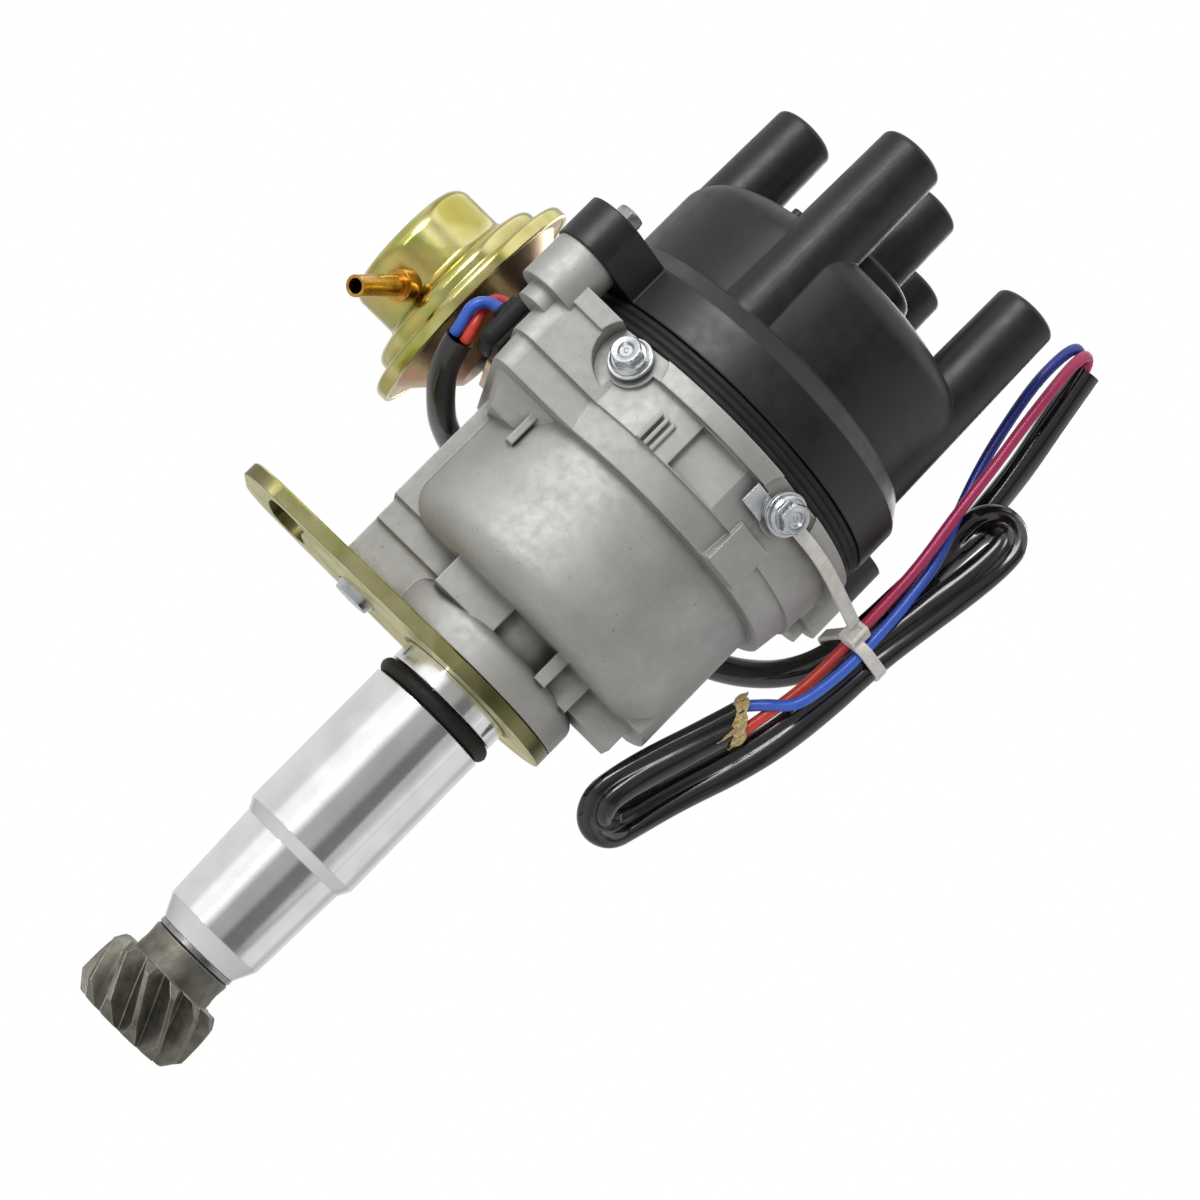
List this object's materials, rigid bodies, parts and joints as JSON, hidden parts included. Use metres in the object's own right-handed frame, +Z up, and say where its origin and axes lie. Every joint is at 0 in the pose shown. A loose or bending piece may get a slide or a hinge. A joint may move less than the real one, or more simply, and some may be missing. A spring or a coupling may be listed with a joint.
{
  "type": "ignition distributor",
  "caption": "Gear driven ignition distributor with cast bowl and shank, moulded cap with lead towers, vacuum unit and pickup leads.",
  "frame": {"origin": "on the shank's axis, at the underside of the mounting plate, where it meets the engine block", "axes": "+Z up the shaft towards the cap, -Y the front with the two side screws, -X towards the vacuum unit"},
  "size_m": [0.1387, 0.0879, 0.2351],
  "materials": {
    "cast_aluminium": "shot blasted casting",
    "yellow_zinc": "yellow passivated zinc plate",
    "zinc_steel": "bright zinc plate",
    "hardened_steel": "ground",
    "sintered_steel": "steam treated sintered steel",
    "bronze": "sintered, oil filled",
    "yellow_brass": "turned",
    "terminal_aluminium": "machined",
    "black_rubber": "moulded",
    "black_cap": "moulded thermoset, semi gloss",
    "black_moulding": "moulded thermoset",
    "natural_nylon": "moulded nylon",
    "black_sleeve": "soft vinyl sleeving",
    "red_insulation": "vinyl insulation",
    "blue_insulation": "vinyl insulation",
    "tan_tape": "translucent tape",
    "felt": "oil soaked felt",
    "carbon": "pressed carbon"
  },
  "bodies": {
    "body": {"housing": "cast_aluminium", "mounting_plate": "yellow_zinc", "plate_screw": "zinc_steel", "shank_o_ring": "black_rubber", "lower_bush": "bronze", "upper_bush": "bronze", "oil_seal": "black_rubber", "thrust_washers": "hardened_steel", "base_plate": "zinc_steel", "base_plate_screws": "zinc_steel", "plate_pads": "natural_nylon", "plate_retainer": "hardened_steel", "ignition_module": "black_moulding", "side_screws": "zinc_steel", "side_screw_washers": "zinc_steel", "tie_tab": "zinc_steel", "cable_tie": "natural_nylon", "cap_gasket": "black_rubber", "cap": "black_cap", "cap_screws": "zinc_steel", "tower_inserts": "terminal_aluminium", "centre_terminal": "terminal_aluminium", "brush_spring": "hardened_steel", "vacuum_front_shell": "yellow_zinc", "vacuum_rear_shell": "yellow_zinc", "vacuum_screws": "zinc_steel", "vacuum_nipple": "yellow_brass", "diaphragm": "black_rubber", "diaphragm_spring": "hardened_steel", "lead_grommet": "black_rubber", "red_lead_in": "red_insulation", "blue_lead_in": "blue_insulation", "lead_sleeve": "black_sleeve", "tail_sleeve": "black_sleeve", "red_wire": "red_insulation", "blue_wire": "blue_insulation", "tape_collar": "tan_tape", "end_boot": "black_sleeve"},
    "shaft": {"main_shaft": "hardened_steel", "drive_gear": "sintered_steel", "gear_pin": "hardened_steel", "governor_plate": "hardened_steel", "spindle_screw": "zinc_steel", "governor_springs": "hardened_steel"},
    "weight_1": {"governor_weight_1": "hardened_steel"},
    "weight_2": {"governor_weight_2": "hardened_steel"},
    "cam": {"cam_sleeve": "hardened_steel", "reluctor": "hardened_steel", "reluctor_pin": "hardened_steel", "oil_wick": "felt", "rotor_arm": "black_moulding", "rotor_blade": "yellow_brass"},
    "breaker": {"breaker_plate": "zinc_steel", "pickup_bracket": "zinc_steel", "pickup_core": "hardened_steel", "pickup_coil": "black_moulding", "pickup_magnet": "hardened_steel", "rod_clip": "hardened_steel"},
    "rod": {"pull_rod": "zinc_steel"},
    "brush": {"carbon_brush": "carbon"}
  },
  "joints": [
    {"name": "shaft_spin", "type": "hinge", "parent": "body", "child": "shaft", "pos_m": [0, 0, 0], "axis": [0, 0, -1], "continuous": true},
    {"name": "centrifugal_advance", "type": "hinge", "parent": "shaft", "child": "cam", "pos_m": [0, 0, 0], "axis": [0, 0, -1], "range_deg": [0, 12], "stiffness_Nm_per_rad": 0.6, "springref_deg": -5.73, "deforming": ["governor_springs"]},
    {"name": "governor_weight_1_swing", "type": "hinge", "parent": "shaft", "child": "weight_1", "pos_m": [0.017, 0.007, 0.035], "axis": [0, 0, -1], "range_deg": [0, 12.9]},
    {"name": "governor_weight_2_swing", "type": "hinge", "parent": "shaft", "child": "weight_2", "pos_m": [-0.017, -0.007, 0.035], "axis": [0, 0, -1], "range_deg": [0, 12.9]},
    {"name": "vacuum_advance", "type": "hinge", "parent": "body", "child": "breaker", "pos_m": [0, 0, 0], "axis": [0, 0, 1], "range_deg": [0, 8], "stiffness_Nm_per_rad": 0.8, "springref_deg": -5.73},
    {"name": "pull_rod_slide", "type": "slide", "parent": "body", "child": "rod", "axis": [-1, 0, 0], "range_m": [0, 0.00252], "deforming": ["diaphragm", "diaphragm_spring"]},
    {"name": "brush_slide", "type": "slide", "parent": "body", "child": "brush", "axis": [0, 0, 1], "range_m": [0, 0.0015], "stiffness_N_per_m": 150, "springref_m": -0.002, "deforming": ["brush_spring"]}
  ],
  "couplings": [
    {"joint": "governor_weight_1_swing", "follows": "centrifugal_advance", "ratio": 1.075},
    {"joint": "governor_weight_2_swing", "follows": "centrifugal_advance", "ratio": 1.075},
    {"joint": "pull_rod_slide", "follows": "vacuum_advance", "m_per_rad": 0.01804}
  ]
}
